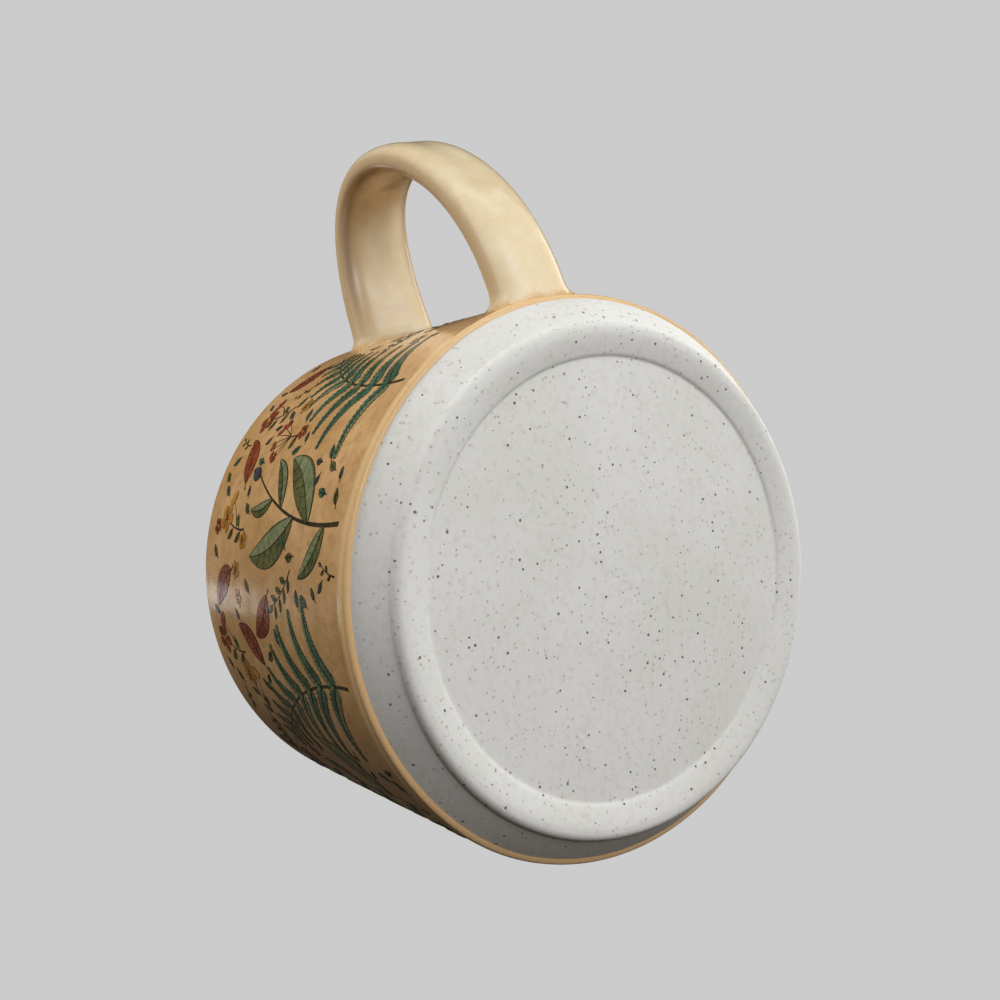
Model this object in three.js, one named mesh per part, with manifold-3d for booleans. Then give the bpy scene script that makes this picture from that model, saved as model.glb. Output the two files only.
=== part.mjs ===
// A small straight-sided stoneware mug: thrown body with a turned foot ring, a pulled strap handle
// luted on with slip, and a coat of glaze that stops short of the foot. Millimetres, +Z up, standing
// on the foot ring. The handle points along +X and the origin is under the middle of the footprint.

import * as THREE from 'three';
import * as BufferGeometryUtils from 'three/addons/utils/BufferGeometryUtils.js';
import Module from 'manifold-3d';

const wasm = await Module();
wasm.setup();

// Driving dimensions
const WALL_RADIUS = 46;             // glazed wall
const HEIGHT = 69.5;                // foot to glazed lip
const COAT = 0.5;                   // thickness of a fired glaze coat
const GAP = 0.3;                    // left between neighbouring pieces
const WALL_THICKNESS = 4;           // clay only
const FLOOR_THICKNESS = 5.3;        // clay only
const ROUND_STEPS = 48;             // facets once round the mug, a multiple of 4

const CLAY_RADIUS = WALL_RADIUS - COAT - GAP;
const BORE_RADIUS = CLAY_RADIUS - WALL_THICKNESS;
const LIP_RADIUS = WALL_THICKNESS / 2;
const LIP_MIDDLE_RADIUS = CLAY_RADIUS - LIP_RADIUS;
const LIP_MIDDLE_HEIGHT = HEIGHT - COAT - GAP - LIP_RADIUS;

// Turned foot
const FOOT_RADIUS = 41.1;           // outside of the foot ring
const FOOT_EDGE = 0.8;              // rounding of its outer edge
const FOOT_WALL_HEIGHT = 1.6;
const RING_FACE = 1.5;              // width that touches the table
const RECESS_RADIUS = 35.2;         // flat underside inside the ring
const RECESS_DEPTH = 1.6;
const BARE_BAND_TOP = 6;            // the chamfer of bare clay ends here
const FLOOR_CORNER = 6;             // radius where the bore meets the floor

// Glaze edges
const ROLL_BOTTOM = BARE_BAND_TOP - 0.3;
const ROLL_TOP = 7.9;
const ROLL_PROUD = 0.35;            // how far the roll of glaze stands past the wall
const LIP_COAT_DROP_OUT = 1.8;      // reach of the lip's glaze band down the outside
const LIP_COAT_DROP_IN = 6;         // and down the bore

// Handle strap: a cubic curve in the plane y = 0, distances from the mug's axis
const STRAP_INSIDE = WALL_RADIUS - 2;
const LOWER_ROOT = new THREE.Vector3(STRAP_INSIDE, 0, 10.5);
const LOWER_PULL = new THREE.Vector3(79.5, 0, 13.5);
const UPPER_PULL = new THREE.Vector3(95.7, 0, 72.2);
const UPPER_ROOT = new THREE.Vector3(STRAP_INSIDE, 0, 57.4);
const STRAP_WIDTHS = [13.8, 11, 17.3];      // control widths: lower root, belly, upper root
const STRAP_THICKNESSES = [7.2, 5.2, 5.6];
const STRAP_SQUARENESS = 2.5;       // 2 is an ellipse, larger is boxier
const STRAP_SIDES = 20;
const STRAP_STEPS = 30;

// Slip joints under the two roots
const JOINT_FLARE = 5;              // wider and thicker than the strap by this much
const JOINT_HEIGHT = 1.5;           // measured out from the clay wall
const JOINT_STEPS = 4;
const JOINT_REACH = 0.12;           // part of the strap's curve that a joint block spans

const BARE_CLAY = { color: 0xcac9c5, roughness: 0.85, metalness: 0 };
const SLIP = { color: 0xc2beb4, roughness: 0.8, metalness: 0 };
const HONEY_GLAZE = { color: 0xc8a878, roughness: 0.25, metalness: 0 };
const CREAM_GLAZE = { color: 0xdccaa4, roughness: 0.2, metalness: 0 };
const DARK_HONEY = { color: 0xb29973, roughness: 0.3, metalness: 0 };

// Points of an arc about a centre, angles in degrees, ends included
function arc(centreX, centreY, radius, fromDegrees, toDegrees, steps) {
  return Array.from({ length: steps + 1 }, (_, i) => {
    const angle = THREE.MathUtils.degToRad(fromDegrees + (toDegrees - fromDegrees) * i / steps);
    return new THREE.Vector2(centreX + radius * Math.cos(angle), centreY + radius * Math.sin(angle));
  });
}

function point(radius, height) {
  return new THREE.Vector2(radius, height);
}

// A profile of (radius, height) points turned about Z. It runs anticlockwise round the material.
function turn(profile) {
  return new THREE.LatheGeometry(profile, ROUND_STEPS).rotateX(Math.PI / 2);
}

function stonewareBody() {
  const floorTop = RECESS_DEPTH + FLOOR_THICKNESS;
  const ringInside = FOOT_RADIUS - FOOT_EDGE - RING_FACE;
  return turn([
    point(0, RECESS_DEPTH),
    point(RECESS_RADIUS, RECESS_DEPTH),
    point((RECESS_RADIUS + ringInside) / 2, RECESS_DEPTH * 0.3),
    point(ringInside, 0),
    ...arc(FOOT_RADIUS - FOOT_EDGE, FOOT_EDGE, FOOT_EDGE, -90, 0, 3),
    point(FOOT_RADIUS, FOOT_WALL_HEIGHT),
    point(CLAY_RADIUS, BARE_BAND_TOP),
    ...arc(LIP_MIDDLE_RADIUS, LIP_MIDDLE_HEIGHT, LIP_RADIUS, 0, 180, 6),
    ...arc(BORE_RADIUS - FLOOR_CORNER, floorTop + FLOOR_CORNER, FLOOR_CORNER, 0, -90, 4),
    point(0, floorTop),
  ]);
}

// The honey glaze on the outside of the wall, open under both handle joints
function wallGlaze(jointHoles) {
  const bottom = ROLL_TOP + GAP;
  const top = LIP_MIDDLE_HEIGHT - LIP_COAT_DROP_OUT - GAP;
  const inside = WALL_RADIUS - COAT;
  const coat = turn([
    point(inside, bottom),
    point(WALL_RADIUS, bottom),
    point(WALL_RADIUS, top),
    point(inside, top),
    point(inside, bottom),
  ]);
  return toGeometry(toSolid(coat).subtract(jointHoles));
}

// The thick roll where the glaze stopped running, just above the bare band
function glazeLineRoll(jointHoles) {
  const inside = WALL_RADIUS - COAT;
  const middle = (ROLL_BOTTOM + ROLL_TOP) / 2;
  const swell = new THREE.EllipseCurve(inside, middle, COAT + ROLL_PROUD, middle - ROLL_BOTTOM,
    -Math.PI / 2, Math.PI / 2);
  const roll = turn([...swell.getPoints(6), point(inside, ROLL_BOTTOM)]);
  return toGeometry(toSolid(roll).subtract(jointHoles));
}

// The glaze band that rolls over the lip
function rimGlaze() {
  const bottomOut = LIP_MIDDLE_HEIGHT - LIP_COAT_DROP_OUT;
  const bottomIn = LIP_MIDDLE_HEIGHT - LIP_COAT_DROP_IN;
  const faceRadius = LIP_RADIUS + GAP + COAT;
  const backRadius = LIP_RADIUS + GAP;
  return turn([
    point(LIP_MIDDLE_RADIUS + backRadius, bottomOut),
    point(LIP_MIDDLE_RADIUS + faceRadius, bottomOut),
    ...arc(LIP_MIDDLE_RADIUS, LIP_MIDDLE_HEIGHT, faceRadius, 0, 180, 6),
    point(LIP_MIDDLE_RADIUS - faceRadius, bottomIn),
    point(LIP_MIDDLE_RADIUS - backRadius, bottomIn),
    ...arc(LIP_MIDDLE_RADIUS, LIP_MIDDLE_HEIGHT, backRadius, 180, 0, 6),
    point(LIP_MIDDLE_RADIUS + backRadius, bottomOut),
  ]);
}

// The glaze that lines the bore and the floor
function linerGlaze() {
  const floorTop = RECESS_DEPTH + FLOOR_THICKNESS;
  const cornerX = BORE_RADIUS - FLOOR_CORNER;
  const cornerZ = floorTop + FLOOR_CORNER;
  const top = LIP_MIDDLE_HEIGHT - LIP_COAT_DROP_IN - GAP;
  const backRadius = FLOOR_CORNER - GAP;
  const faceRadius = FLOOR_CORNER - GAP - COAT;
  return turn([
    point(0, floorTop + GAP),
    ...arc(cornerX, cornerZ, backRadius, -90, 0, 4),
    point(cornerX + backRadius, top),
    point(cornerX + faceRadius, top),
    ...arc(cornerX, cornerZ, faceRadius, 0, -90, 4),
    point(0, floorTop + GAP + COAT),
  ]);
}

function strapCurve() {
  return new THREE.CubicBezierCurve3(LOWER_ROOT, LOWER_PULL, UPPER_PULL, UPPER_ROOT);
}

// Value of a three-point control list part-way along the strap
function along(controls, t) {
  return (1 - t) ** 2 * controls[0] + 2 * t * (1 - t) * controls[1] + t ** 2 * controls[2];
}

// A bar of rounded section bent along the strap's curve from one part of it to another, wider and
// thicker than the strap by extraAt(t). It starts as a capped cylinder whose rings are re-placed.
function bentBar(fromT, toT, steps, extraAt) {
  const curve = strapCurve();
  const bar = new THREE.CylinderGeometry(1, 1, 1, STRAP_SIDES, steps);
  const place = bar.attributes.position;
  for (let i = 0; i < place.count; i += 1) {
    const t = fromT + (toT - fromT) * (place.getY(i) + 0.5);
    const centre = curve.getPoint(t);
    const ahead = curve.getTangent(t);
    const across = along(STRAP_WIDTHS, t) + extraAt(t);
    const through = along(STRAP_THICKNESSES, t) + extraAt(t);
    const side = squared(place.getX(i)) * across / 2;
    const out = squared(place.getZ(i)) * through / 2;
    place.setXYZ(i, centre.x + ahead.z * out, side, centre.z - ahead.x * out);
  }
  return toSolid(bar);
}

// Pushes a unit circle's coordinate out towards a rounded square
function squared(value) {
  return Math.sign(value) * Math.abs(value) ** (2 / STRAP_SQUARENESS);
}

// A solid cylinder about the mug's axis, tall enough to pass every joint
function core(radius) {
  const cylinder = new THREE.CylinderGeometry(radius, radius, 2 * HEIGHT, ROUND_STEPS);
  return toSolid(cylinder.rotateX(Math.PI / 2).rotateZ(Math.PI / 2));
}

function handleStrap() {
  const clay = bentBar(0, 1, STRAP_STEPS, () => -2 * (COAT + GAP));
  return toGeometry(clay.subtract(core(CLAY_RADIUS + JOINT_HEIGHT + 2 * GAP)));
}

function handleGlaze() {
  const outside = bentBar(0, 1, STRAP_STEPS, () => 0);
  const inside = bentBar(0, 1, STRAP_STEPS, () => -2 * COAT);
  return toGeometry(outside.subtract(inside).subtract(core(CLAY_RADIUS + JOINT_HEIGHT + 2 * GAP)));
}

// The block of slip and coil under one root; a further clearance gives the hole round it
function jointBlock(atUpperRoot, clearance) {
  const [fromT, toT] = atUpperRoot ? [1 - JOINT_REACH, 1] : [0, JOINT_REACH];
  return bentBar(fromT, toT, JOINT_STEPS, () => JOINT_FLARE + 2 * clearance);
}

function slipJoint(atUpperRoot) {
  const saddle = core(CLAY_RADIUS + GAP + JOINT_HEIGHT).subtract(core(CLAY_RADIUS + GAP));
  return toGeometry(jointBlock(atUpperRoot, 0).intersect(saddle));
}

function toSolid(geometry) {
  const bare = geometry.clone();
  bare.deleteAttribute('normal');
  bare.deleteAttribute('uv');
  const merged = BufferGeometryUtils.mergeVertices(bare, 1e-4);
  return new wasm.Manifold(new wasm.Mesh({
    numProp: 3,
    vertProperties: new Float32Array(merged.attributes.position.array),
    triVerts: new Uint32Array(merged.index.array),
  }));
}

function toGeometry(solid) {
  const mesh = solid.getMesh();
  const geometry = new THREE.BufferGeometry();
  geometry.setAttribute('position', new THREE.BufferAttribute(mesh.vertProperties, 3));
  geometry.setIndex(new THREE.BufferAttribute(mesh.triVerts, 1));
  geometry.computeVertexNormals();
  return geometry;
}

function piece(name, geometry, finish) {
  const mesh = new THREE.Mesh(geometry, new THREE.MeshStandardMaterial(finish));
  mesh.name = name;
  return mesh;
}

const jointHoles = jointBlock(false, GAP).add(jointBlock(true, GAP));

const mug = new THREE.Group();
mug.add(
  piece('stoneware_body', stonewareBody(), BARE_CLAY),
  piece('handle_strap', handleStrap(), SLIP),
  piece('lower_slip_joint', slipJoint(false), SLIP),
  piece('upper_slip_joint', slipJoint(true), SLIP),
  piece('wall_glaze', wallGlaze(jointHoles), HONEY_GLAZE),
  piece('glaze_line_roll', glazeLineRoll(jointHoles), DARK_HONEY),
  piece('rim_glaze', rimGlaze(), HONEY_GLAZE),
  piece('liner_glaze', linerGlaze(), HONEY_GLAZE),
  piece('handle_glaze', handleGlaze(), CREAM_GLAZE),
);

// The mug's axis moves so that the middle of the footprint, handle included, is at the origin
const footprint = new THREE.Box3().setFromObject(mug);
mug.position.x = -(footprint.min.x + footprint.max.x) / 2;

export default mug;
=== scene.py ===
import math
import random
import bpy
from mathutils import Matrix, Vector, noise


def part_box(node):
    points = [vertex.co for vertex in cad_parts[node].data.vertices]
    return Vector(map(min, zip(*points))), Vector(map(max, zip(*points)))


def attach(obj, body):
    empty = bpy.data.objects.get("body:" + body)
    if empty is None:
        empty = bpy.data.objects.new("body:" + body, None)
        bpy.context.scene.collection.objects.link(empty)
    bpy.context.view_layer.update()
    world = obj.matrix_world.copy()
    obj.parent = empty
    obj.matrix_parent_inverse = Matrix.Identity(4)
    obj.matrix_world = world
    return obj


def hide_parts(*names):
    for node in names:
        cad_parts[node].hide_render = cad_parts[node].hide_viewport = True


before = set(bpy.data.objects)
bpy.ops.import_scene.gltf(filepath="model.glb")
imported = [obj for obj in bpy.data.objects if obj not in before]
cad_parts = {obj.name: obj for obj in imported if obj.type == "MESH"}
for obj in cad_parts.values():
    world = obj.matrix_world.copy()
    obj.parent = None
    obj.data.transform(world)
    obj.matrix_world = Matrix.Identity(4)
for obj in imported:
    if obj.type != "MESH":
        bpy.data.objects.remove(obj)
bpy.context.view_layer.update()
bpy.ops.object.select_all(action="DESELECT")

# ---------------------------------------------------------------- thrown stoneware body
# The cup itself: speckled pale stoneware, thrown on the wheel, then turned upside down and trimmed
# to a flat recess inside a low foot ring. Half of its section is drawn and spun about the mug's
# axis, and then pushed about by a few hundredths of a millimetre where fingers and tool went.

MM = 0.001
body_low, body_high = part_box("stoneware_body")
AXIS_X = (body_low.x + body_high.x) / 2
CLAY_RADIUS = (body_high.y - body_low.y) / 2
CLAY_TOP = body_high.z
ROUND_STEPS = 288
SAME_POINT = 1e-6

FOOT_RADIUS = 41.1 * MM
FOOT_EDGE = 1.4 * MM
FOOT_WALL_TOP = 1.5 * MM
RING_FACE = 0.8 * MM
RING_INSIDE = FOOT_RADIUS - FOOT_EDGE - RING_FACE
COVE_START = 35.0 * MM
RECESS_DEPTH = 1.5 * MM
COVE_CORNER = (COVE_START + 0.65 * MM, RECESS_DEPTH - 0.35 * MM)
RING_LEVEL = RING_INSIDE + 0.3 * MM                   # the ring is level from here outwards
BAND_TOP = 6.0 * MM
BAND_BULGE = 0.12 * MM
TURNING_PITCH = 1.35 * MM
TURNING_DEPTH = 0.006 * MM
LIP_RADIUS = 2.0 * MM
BORE_RADIUS = CLAY_RADIUS - 2 * LIP_RADIUS
FLOOR_TOP = 6.9 * MM
FLOOR_CORNER = 6.0 * MM


def line(start, end, steps):
    """Points from start up to, but without, end."""
    return [tuple(a + (b - a) * i / steps for a, b in zip(start, end)) for i in range(steps)]


def arc(centre, radius, from_degrees, to_degrees, steps):
    """Points of an arc about centre, both ends included."""
    points = []
    for i in range(steps + 1):
        angle = math.radians(from_degrees + (to_degrees - from_degrees) * i / steps)
        points.append((centre[0] + radius * math.cos(angle), centre[1] + radius * math.sin(angle)))
    return points


def bow(start, bulge, end, steps):
    """A quadratic curve from start to end, drawn towards bulge, without its end point."""
    points = []
    for i in range(steps):
        t = i / steps
        weights = ((1 - t) ** 2, 2 * t * (1 - t), t ** 2)
        points.append(tuple(sum(w * p[k] for w, p in zip(weights, (start, bulge, end))) for k in (0, 1)))
    return points


def spin_piece(name, half_section, closed):
    """Spins a half section of (radius, height) points about the mug's axis into a smooth piece."""
    mesh = bpy.data.meshes.new(name)
    joins = [(i, i + 1) for i in range(len(half_section) - 1)]
    if closed:
        joins.append((len(half_section) - 1, 0))
    mesh.from_pydata([(AXIS_X + r, 0, z) for r, z in half_section], joins, [])
    piece = bpy.data.objects.new(name, mesh)
    bpy.context.scene.collection.objects.link(piece)
    bpy.ops.object.select_all(action="DESELECT")
    piece.select_set(True)
    bpy.context.view_layer.objects.active = piece
    bpy.ops.object.mode_set(mode="EDIT")
    bpy.ops.mesh.select_all(action="SELECT")
    bpy.ops.mesh.spin(steps=ROUND_STEPS, angle=math.tau, center=(AXIS_X, 0, 0), axis=(0, 0, 1))
    bpy.ops.mesh.select_all(action="SELECT")
    bpy.ops.mesh.remove_doubles(threshold=SAME_POINT)
    bpy.ops.mesh.normals_make_consistent(inside=False)
    bpy.ops.object.mode_set(mode="OBJECT")
    bpy.ops.object.shade_smooth_by_angle(angle=math.radians(50))
    return piece


def wobble(piece, push):
    """Moves each point of a round piece by push(angle, radius, height), in radius and height."""
    for v in piece.data.vertices:
        x, y, z = v.co.x - AXIS_X, v.co.y, v.co.z
        radius = math.hypot(x, y)
        if radius < 1e-7:
            continue
        out, up = push(math.atan2(y, x), radius, z)
        scale = (radius + out) / radius
        v.co = Vector((AXIS_X + x * scale, y * scale, z + up))


def drift(angle, height, size, seed):
    """Slow unevenness, from -1 to 1, that goes once round the mug without a seam."""
    return noise.noise(Vector((math.cos(angle) * size, math.sin(angle) * size, height * size + seed)))


band_start = (FOOT_RADIUS, FOOT_WALL_TOP)
band_end = (CLAY_RADIUS, BAND_TOP)
band_pull = ((band_start[0] + band_end[0]) / 2 + BAND_BULGE, (band_start[1] + band_end[1]) / 2 - BAND_BULGE)
body_section = (
    line((0, RECESS_DEPTH), (COVE_START, RECESS_DEPTH), 110)
    + bow((COVE_START, RECESS_DEPTH), (COVE_START + 0.4 * MM, RECESS_DEPTH), COVE_CORNER, 6)
    + bow(COVE_CORNER, (RING_INSIDE - 0.8 * MM, 0.1 * MM), (RING_LEVEL, 0), 10)
    + line((RING_LEVEL, 0), (FOOT_RADIUS - FOOT_EDGE, 0), 3)
    + arc((FOOT_RADIUS - FOOT_EDGE, FOOT_EDGE), FOOT_EDGE, -90, 0, 10)
    + bow(band_start, band_pull, band_end, 26)
    + line(band_end, (CLAY_RADIUS, CLAY_TOP - LIP_RADIUS), 30)
    + arc((CLAY_RADIUS - LIP_RADIUS, CLAY_TOP - LIP_RADIUS), LIP_RADIUS, 0, 180, 12)
    + line((BORE_RADIUS, CLAY_TOP - LIP_RADIUS), (BORE_RADIUS, FLOOR_TOP + FLOOR_CORNER), 20)
    + arc((BORE_RADIUS - FLOOR_CORNER, FLOOR_TOP + FLOOR_CORNER), FLOOR_CORNER, 0, -90, 8)
    + [(0, FLOOR_TOP)]
)
body = spin_piece("thrown_body", body_section, closed=False)


def trimming(angle, radius, height):
    """Spiral chatter of the trimming tool on the underside, and a slightly uneven bare band."""
    if radius < COVE_START + MM and height < FLOOR_TOP / 2:
        turns = radius / TURNING_PITCH + angle / math.tau
        fade = 1 - radius / COVE_START * 0.4
        groove = TURNING_DEPTH * math.sin(turns * math.tau) * fade
        return 0, groove + 0.05 * MM * drift(angle, radius, 1.6, 3)
    if height < BAND_TOP:
        return 0.09 * MM * drift(angle, height * 90, 1.3, 7), 0
    return 0, 0


wobble(body, trimming)


class Recipe:
    """One output of a shader node, so that a finish is written as sums of its ingredients."""

    def __init__(self, tree, socket=None):
        self.tree = tree
        self.socket = socket

    def add_node(self, kind, settings, inputs, output=0):
        """A new shader node, with its settings, its inputs and the output that is wanted."""
        node = self.tree.nodes.new("ShaderNode" + kind)
        for name, value in settings.items():
            setattr(node, name, value)
        for key, value in inputs.items():
            if isinstance(value, Recipe):
                self.tree.links.new(value.socket, node.inputs[key])
            else:
                node.inputs[key].default_value = value
        return Recipe(self.tree, node.outputs[output])

    def math(self, operation, first, second=0.0):
        return self.add_node("Math", {"operation": operation}, {0: first, 1: second})

    def __add__(self, other):
        return self.math("ADD", self, other)

    def __sub__(self, other):
        return self.math("SUBTRACT", self, other)

    def __rsub__(self, other):
        return self.math("SUBTRACT", other, self)

    def __mul__(self, other):
        return self.math("MULTIPLY", self, other)

    __radd__ = __add__

    def ease(self, low, high):
        """0 below low, 1 above high, and a soft step between them. low may be above high."""
        if low > high:
            return 1 - self.ease(high, low)
        return self.add_node("MapRange", {"interpolation_type": "SMOOTHSTEP"},
                             {"Value": self, "From Min": low, "From Max": high})

    def blend(self, first, second):
        """A colour from first to second, by this mask."""
        return self.add_node("Mix", {"data_type": "RGBA"}, {0: self, 6: first, 7: second}, 2)

    def cloud(self, scale, detail=2.0, roughness=0.5):
        """Soft noise in the piece's own metres, from 0 to 1."""
        return self.add_node("TexNoise", {}, {"Vector": self.place(), "Scale": scale, "Detail": detail,
                                              "Roughness": roughness})

    def place(self):
        """Where the point lies in the piece's own space."""
        return self.add_node("TexCoord", {}, {}, "Object")

    def grains(self, scale, size, share, seed):
        """Round specks: 1 inside a speck. Only a share of the cells, by their random colour, hold one."""
        shifted = self.add_node("Mapping", {}, {"Vector": self.place(), "Location": (seed, seed, seed)})
        cell = self.add_node("TexVoronoi", {"feature": "F1"}, {"Vector": shifted, "Scale": scale})
        chance = self.add_node("SeparateColor", {}, {0: Recipe(self.tree, cell.socket.node.outputs["Color"])})
        radius = chance.ease(1 - share, 1.0) * size
        return self.math("LESS_THAN", cell, radius)


def tone(red, green, blue):
    """A colour named by its 0 to 255 screen values, as the shader's linear colour."""
    parts = [v / 255 for v in (red, green, blue)]
    return (*[p / 12.92 if p <= 0.04045 else ((p + 0.055) / 1.055) ** 2.4 for p in parts], 1)


def new_finish(name, fixed):
    """An empty material with its shader; fixed holds what is the same all over the surface."""
    finish = bpy.data.materials.new(name)
    finish.use_nodes = True
    shader = finish.node_tree.nodes["Principled BSDF"]
    for key, value in fixed.items():
        shader.inputs[key].default_value = value
    return finish, Recipe(finish.node_tree), shader


def feed(recipe, shader, **inputs):
    """Links a finish's varying values to its shader."""
    for name, value in inputs.items():
        recipe.tree.links.new(value.socket, shader.inputs[name.replace("_", " ")])


def dress(piece, finish):
    """Gives a piece one finish, in place of any it had."""
    piece.data.materials.clear()
    piece.data.materials.append(finish)


def axis_distance(recipe):
    """How far a point is from the mug's axis, in metres."""
    centred = recipe.add_node("VectorMath", {"operation": "SUBTRACT"},
                              {0: recipe.place(), 1: (AXIS_X, 0, 0)})
    flat = recipe.add_node("VectorMath", {"operation": "MULTIPLY"}, {0: centred, 1: (1, 1, 0)})
    return recipe.add_node("VectorMath", {"operation": "LENGTH"}, {0: flat}, "Value")


bare_clay, clay, clay_shader = new_finish("bare_stoneware", {"Specular IOR Level": 0.35})
iron = clay.grains(700, 0.17, 0.6, 0.3)
fine_iron = clay.grains(1000, 0.24, 0.85, 1.7)
grog = clay.grains(800, 0.3, 0.35, 4.1)
patches = clay.cloud(38, 3, 0.55).ease(0.35, 0.7)
dust = clay.cloud(900, 3, 0.65)
clay_colour = patches.blend(tone(208, 208, 205), tone(202, 202, 198))
clay_colour = (dust.ease(0.45, 0.8) * 0.35).blend(clay_colour, tone(178, 173, 164))
clay_colour = (grog * 0.2).blend(clay_colour, tone(158, 150, 138))
clay_colour = (fine_iron * 0.42).blend(clay_colour, tone(120, 108, 94))
clay_colour = (iron * 0.85).blend(clay_colour, tone(66, 56, 48))
turning = clay.add_node("Math", {"operation": "SINE"},
                        {0: (axis_distance(clay) + clay.cloud(30) * 0.0006) * (math.tau / (0.42 * MM))})
clay_height = dust * 0.5 + clay.cloud(2600, 2, 0.6) * 0.35 + turning * 0.015 - iron * 0.5 - fine_iron * 0.3
clay_normal = clay.add_node("Bump", {}, {"Strength": 0.55, "Distance": 0.07 * MM, "Height": clay_height})
feed(clay, clay_shader, Base_Color=clay_colour, Roughness=0.74 + dust * 0.2, Normal=clay_normal)

dress(body, bare_clay)
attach(body, "root")
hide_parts("stoneware_body")

# ---------------------------------------------------------------- glaze on the outside of the wall
# The honey glaze: the mug was held by its foot and dipped, so the glaze stops in a slightly wavy
# line above the bare band and hangs there in a thick amber roll. Spun like the body, then its lower
# edge is drawn up and down to the dip line.

glaze_low, glaze_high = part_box("wall_glaze")
WALL_RADIUS = (glaze_high.y - glaze_low.y) / 2
COAT_BACK = CLAY_RADIUS + 0.02 * MM
lip_low, lip_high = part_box("rim_glaze")
LIP_JOIN = lip_low.z + 3.6 * MM                       # where the lip's glaze takes over outside
ROLL_HEIGHT = 1.7 * MM
ROLL_PROUD = 0.1 * MM


def dip_line(angle):
    """How far the glaze's edge runs above or below its mean height."""
    slow = 0.3 * MM * math.sin(angle + 0.6) + 0.12 * MM * math.sin(2 * angle + 2)
    return slow + 0.35 * MM * drift(angle, 0, 2.6, 11)


def wall_push(angle, height):
    """Unevenness of the glazed wall, which the printed plants follow too."""
    ripple = 0.008 * MM * math.sin(height / (7.3 * MM) * math.tau + angle)
    return ripple + 0.05 * MM * drift(angle, height * 30, 1.5, 5)


roll_foot = BAND_TOP - 0.1 * MM
outer_section = (
    bow((CLAY_RADIUS - 0.15 * MM, roll_foot), (WALL_RADIUS + ROLL_PROUD, roll_foot - 0.1 * MM),
        (WALL_RADIUS + ROLL_PROUD, roll_foot + 0.45 * ROLL_HEIGHT), 9)
    + bow((WALL_RADIUS + ROLL_PROUD, roll_foot + 0.45 * ROLL_HEIGHT),
          (WALL_RADIUS + ROLL_PROUD, roll_foot + 0.8 * ROLL_HEIGHT),
          (WALL_RADIUS, roll_foot + 1.5 * ROLL_HEIGHT), 9)
    + line((WALL_RADIUS, roll_foot + 1.5 * ROLL_HEIGHT), (WALL_RADIUS, LIP_JOIN), 110)
    + [(WALL_RADIUS, LIP_JOIN), (COAT_BACK, LIP_JOIN), (COAT_BACK, roll_foot + MM)]
)
outer_glaze = spin_piece("outer_glaze", outer_section, closed=True)


def outer_push(angle, radius, height):
    """The wall's unevenness, with the glaze's lower edge drawn to the dip line."""
    out = wall_push(angle, height) if radius > WALL_RADIUS - 0.3 * MM else 0
    hang = max(0.0, 1 - (height - roll_foot) / (6 * MM))
    sunk = min(0.0, dip_line(angle) * hang) * 0.35
    return out + sunk, dip_line(angle) * hang


wobble(outer_glaze, outer_push)


def glaze_finish(name, light, mid, dark, grain_share, roll_share):
    """A glossy ash glaze: light where it pools, paler inside the cup, brown on the lip's crest."""
    finish, glaze, shader = new_finish(name, {"Coat Weight": 0.6, "Coat Roughness": 0.12, "IOR": 1.5,
                                              "Specular IOR Level": 0.5})
    broad = glaze.cloud(55, 4, 0.6).ease(0.3, 0.72)
    mottle = glaze.cloud(420, 4, 0.7).ease(0.35, 0.75)
    fine = glaze.cloud(1500, 2, 0.6).ease(0.4, 0.75)
    specks = glaze.grains(380, 0.16, 0.2, 2.2)
    colour = broad.blend(mid, light)
    colour = (mottle * 0.5).blend(colour, dark)
    colour = (fine * 0.22).blend(colour, light)
    colour = (specks * grain_share).blend(colour, tone(74, 50, 28))
    height = glaze.add_node("SeparateXYZ", {}, {0: glaze.place()}, "Z")
    inside = axis_distance(glaze).ease(CLAY_RADIUS - LIP_RADIUS * 0.6, CLAY_RADIUS - LIP_RADIUS * 1.9)
    colour = (inside * 0.4).blend(colour, tone(232, 206, 164))
    crest = (height + glaze.cloud(240) * 0.0006).ease(lip_high.z - 0.9 * MM, lip_high.z + 0.2 * MM)
    colour = (crest * 0.65).blend(colour, tone(132, 88, 48))
    hanging = height.ease(BAND_TOP + 2.6 * MM, BAND_TOP + 0.8 * MM) * roll_share
    colour = (hanging * 0.75).blend(colour, tone(224, 192, 140))
    edge = height.ease(BAND_TOP + 0.75 * MM, BAND_TOP) * roll_share
    colour = (edge * 0.5).blend(colour, tone(176, 134, 84))
    peel = glaze.cloud(160, 2, 0.5) * 0.7 + glaze.cloud(900, 2, 0.5) * 0.12 - specks * 0.1
    normal = glaze.add_node("Bump", {}, {"Strength": 0.35, "Distance": 0.12 * MM, "Height": peel})
    feed(glaze, shader, Base_Color=colour, Roughness=0.2 + mottle * 0.16, Normal=normal)
    return finish


honey = glaze_finish("honey_glaze", tone(212, 172, 122), tone(184, 142, 88), tone(140, 96, 52), 0.5, 1.0)
dress(outer_glaze, honey)
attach(outer_glaze, "root")
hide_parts("wall_glaze", "glaze_line_roll")

# ---------------------------------------------------------------- glaze over the lip
# The same glaze where it rolls over the lip. It runs thin on the crest, so the clay's iron shows
# through as a warmer brown line. A closed band, spun from its own section.

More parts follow.
